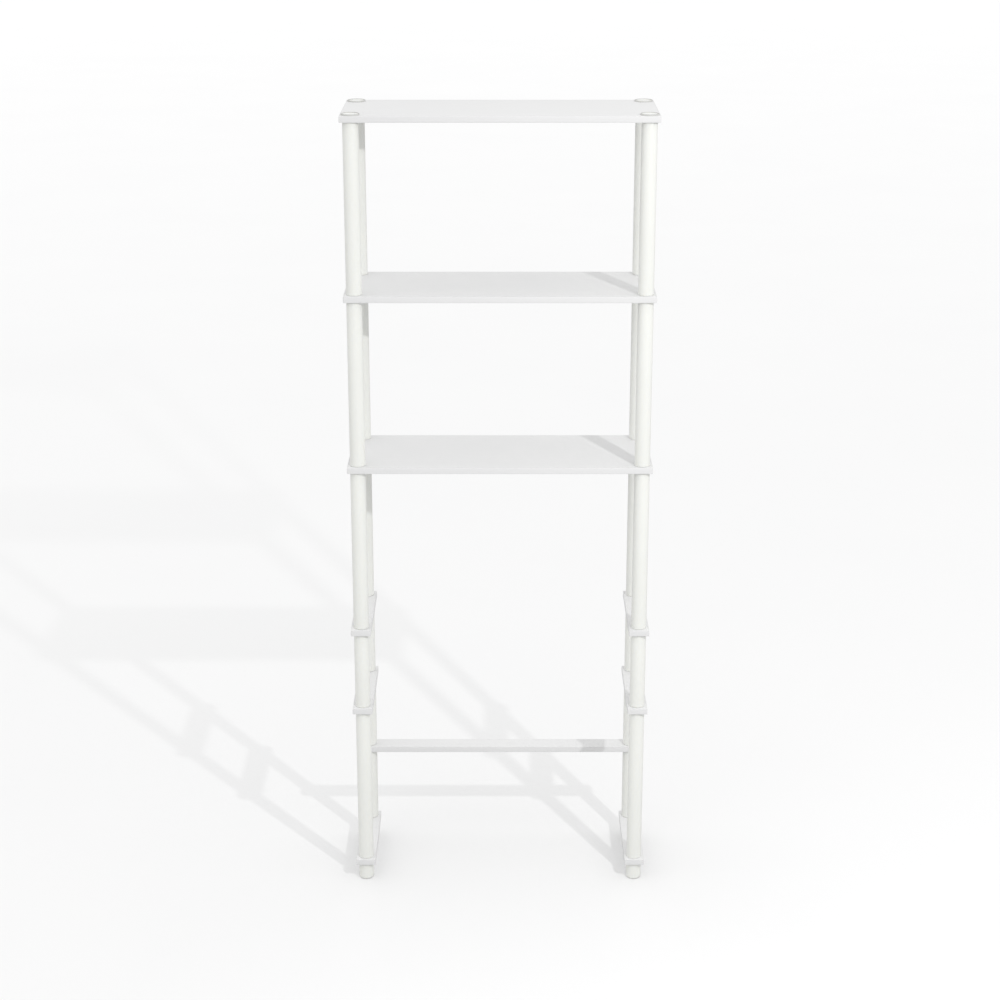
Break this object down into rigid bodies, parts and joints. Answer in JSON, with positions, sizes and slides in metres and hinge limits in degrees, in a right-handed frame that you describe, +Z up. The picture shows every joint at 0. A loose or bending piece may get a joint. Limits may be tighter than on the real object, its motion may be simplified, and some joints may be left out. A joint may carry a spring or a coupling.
{
  "type": "over the toilet storage rack",
  "caption": "Free-standing rack that straddles a toilet, with full-width shelves on tube posts above open side frames joined by a low rear brace.",
  "frame": {"origin": "on the floor, under the middle of the rack", "axes": "+Z up, +X across the rack to the right as seen from the front, +Y from the front to the back"},
  "size_m": [0.623, 0.235, 1.6533],
  "materials": {
    "shelf_laminate": "satin white foil over particle board",
    "post_plastic": "smooth extruded off-white plastic, satin",
    "cap_plastic": "moulded white plastic, satin",
    "foot_plastic": "moulded off-white plastic, satin",
    "plug_plastic": "moulded natural plastic"
  },
  "bodies": {
    "root": {"top_shelf": "shelf_laminate", "middle_shelf": "shelf_laminate", "lower_shelf": "shelf_laminate", "rear_brace_board": "shelf_laminate", "left_upper_side_board": "shelf_laminate", "left_middle_side_board": "shelf_laminate", "left_bottom_side_board": "shelf_laminate", "right_upper_side_board": "shelf_laminate", "right_middle_side_board": "shelf_laminate", "right_bottom_side_board": "shelf_laminate", "front_left_tube_1": "post_plastic", "front_left_tube_2": "post_plastic", "front_left_tube_3": "post_plastic", "front_left_tube_4": "post_plastic", "front_left_tube_5": "post_plastic", "front_left_top_cap": "cap_plastic", "front_left_foot": "foot_plastic", "front_left_threaded_studs": "plug_plastic", "front_left_threaded_sockets": "plug_plastic", "front_right_tube_1": "post_plastic", "front_right_tube_2": "post_plastic", "front_right_tube_3": "post_plastic", "front_right_tube_4": "post_plastic", "front_right_tube_5": "post_plastic", "front_right_top_cap": "cap_plastic", "front_right_foot": "foot_plastic", "front_right_threaded_studs": "plug_plastic", "front_right_threaded_sockets": "plug_plastic", "back_left_tube_1": "post_plastic", "back_left_tube_2": "post_plastic", "back_left_tube_3": "post_plastic", "back_left_tube_4": "post_plastic", "back_left_tube_5": "post_plastic", "back_left_tube_6": "post_plastic", "back_left_top_cap": "cap_plastic", "back_left_foot": "foot_plastic", "back_left_threaded_studs": "plug_plastic", "back_left_threaded_sockets": "plug_plastic", "back_right_tube_1": "post_plastic", "back_right_tube_2": "post_plastic", "back_right_tube_3": "post_plastic", "back_right_tube_4": "post_plastic", "back_right_tube_5": "post_plastic", "back_right_tube_6": "post_plastic", "back_right_top_cap": "cap_plastic", "back_right_foot": "foot_plastic", "back_right_threaded_studs": "plug_plastic", "back_right_threaded_sockets": "plug_plastic"}
  },
  "joints": []
}
